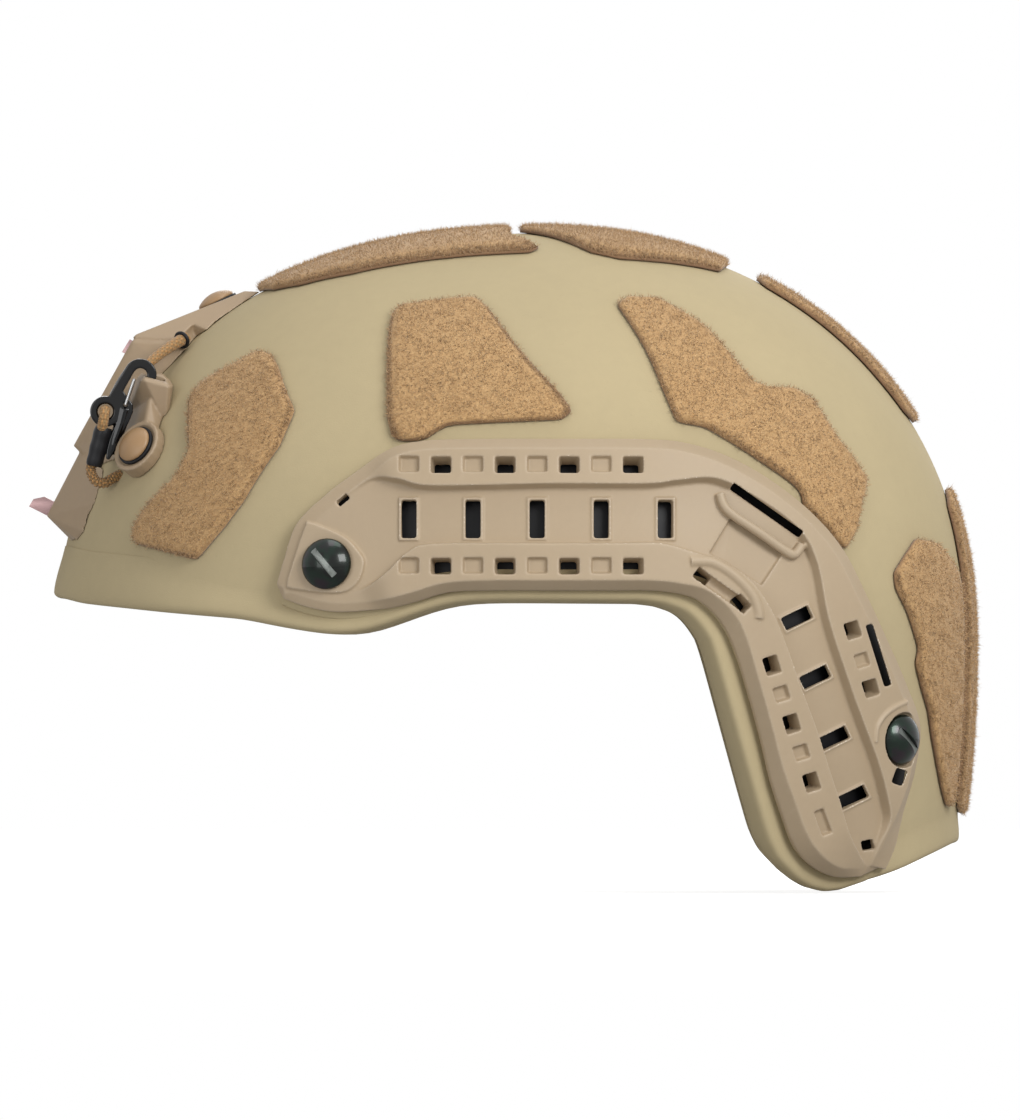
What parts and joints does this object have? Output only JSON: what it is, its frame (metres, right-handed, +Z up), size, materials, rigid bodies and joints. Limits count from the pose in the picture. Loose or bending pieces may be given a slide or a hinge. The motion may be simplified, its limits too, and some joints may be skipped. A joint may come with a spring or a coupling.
{
  "type": "combat helmet",
  "caption": "High-cut protective helmet with side accessory rails, front device shroud, elastic snap hooks, pile panels and inner comfort pads.",
  "frame": {"origin": "on the mid-plane at the level of the front edge of the ear cut, in the shell's widest section: centre of the head opening", "axes": "+X towards the nape, -Y to the wearer's left side, +Z up to the crown"},
  "size_m": [0.2856, 0.2308, 0.2007],
  "materials": {
    "shell_paint": "matt, fine texture",
    "rail_polymer": "moulded, satin",
    "rail_bolt_metal": "dark gloss",
    "black_oxide": "satin",
    "shroud_polymer": "moulded, satin",
    "rose_anodised": "anodised, satin",
    "shroud_bolt_paint": "satin",
    "black_rubber": "matt",
    "elastic_cord": "braided",
    "gate_wire": "satin",
    "hook_polymer": "satin",
    "loop_pile": "fuzzy pile",
    "hook_fabric": "hook tape",
    "pad_fabric": "brushed knit"
  },
  "bodies": {
    "helmet": {"shell": "shell_paint", "edge_trim": "shell_paint", "rail_seat_left": "shell_paint", "rail_seat_right": "shell_paint", "rail_left": "rail_polymer", "rail_right": "rail_polymer", "rail_bolts_left": "rail_bolt_metal", "rail_bolts_right": "rail_bolt_metal", "rail_nuts_left": "black_oxide", "rail_nuts_right": "black_oxide", "shroud_frame": "shroud_polymer", "shroud_insert": "rose_anodised", "shroud_bolts": "shroud_bolt_paint", "shroud_washers": "black_rubber", "shroud_nuts": "black_oxide", "cord_grommets": "black_rubber", "bungee_left": "elastic_cord", "bungee_right": "elastic_cord", "stow_cord_left": "elastic_cord", "stow_cord_right": "elastic_cord", "loop_front_left": "loop_pile", "loop_front_right": "loop_pile", "loop_side_left": "loop_pile", "loop_side_right": "loop_pile", "loop_rear_side_left": "loop_pile", "loop_rear_side_right": "loop_pile", "loop_nape_left": "loop_pile", "loop_nape_right": "loop_pile", "loop_crown_front": "loop_pile", "loop_crown_rear": "loop_pile", "loop_rear_upper": "loop_pile", "loop_rear_lower": "loop_pile", "pad_front": "pad_fabric", "pad_crown": "pad_fabric", "pad_rear": "pad_fabric", "pad_side_front_left": "pad_fabric", "pad_side_front_right": "pad_fabric", "pad_side_rear_left": "pad_fabric", "pad_side_rear_right": "pad_fabric", "pad_hooks": "hook_fabric"},
    "hook_left": {"hook_left": "hook_polymer", "bungee_loop_left": "elastic_cord", "bungee_sleeve_left": "black_rubber"},
    "gate_left": {"hook_gate_left": "gate_wire"},
    "hook_right": {"hook_right": "hook_polymer", "bungee_loop_right": "elastic_cord", "bungee_sleeve_right": "black_rubber"},
    "gate_right": {"hook_gate_right": "gate_wire"}
  },
  "joints": [
    {"name": "hook_pull_left", "type": "slide", "parent": "helmet", "child": "hook_left", "axis": [0, 0, 1], "range_m": [0, 0.008], "stiffness_N_per_m": 300, "deforming": ["bungee_left"]},
    {"name": "gate_left", "type": "hinge", "parent": "hook_left", "child": "gate_left", "pos_m": [-0.1244, -0.043, 0.0587], "axis": [0, -1, 0], "range_deg": [0, 5], "stiffness_Nm_per_rad": 0.005},
    {"name": "hook_pull_right", "type": "slide", "parent": "helmet", "child": "hook_right", "axis": [0, 0, 1], "range_m": [0, 0.008], "stiffness_N_per_m": 300, "deforming": ["bungee_right"]},
    {"name": "gate_right", "type": "hinge", "parent": "hook_right", "child": "gate_right", "pos_m": [-0.1244, 0.043, 0.0587], "axis": [0, -1, 0], "range_deg": [0, 5], "stiffness_Nm_per_rad": 0.005}
  ]
}
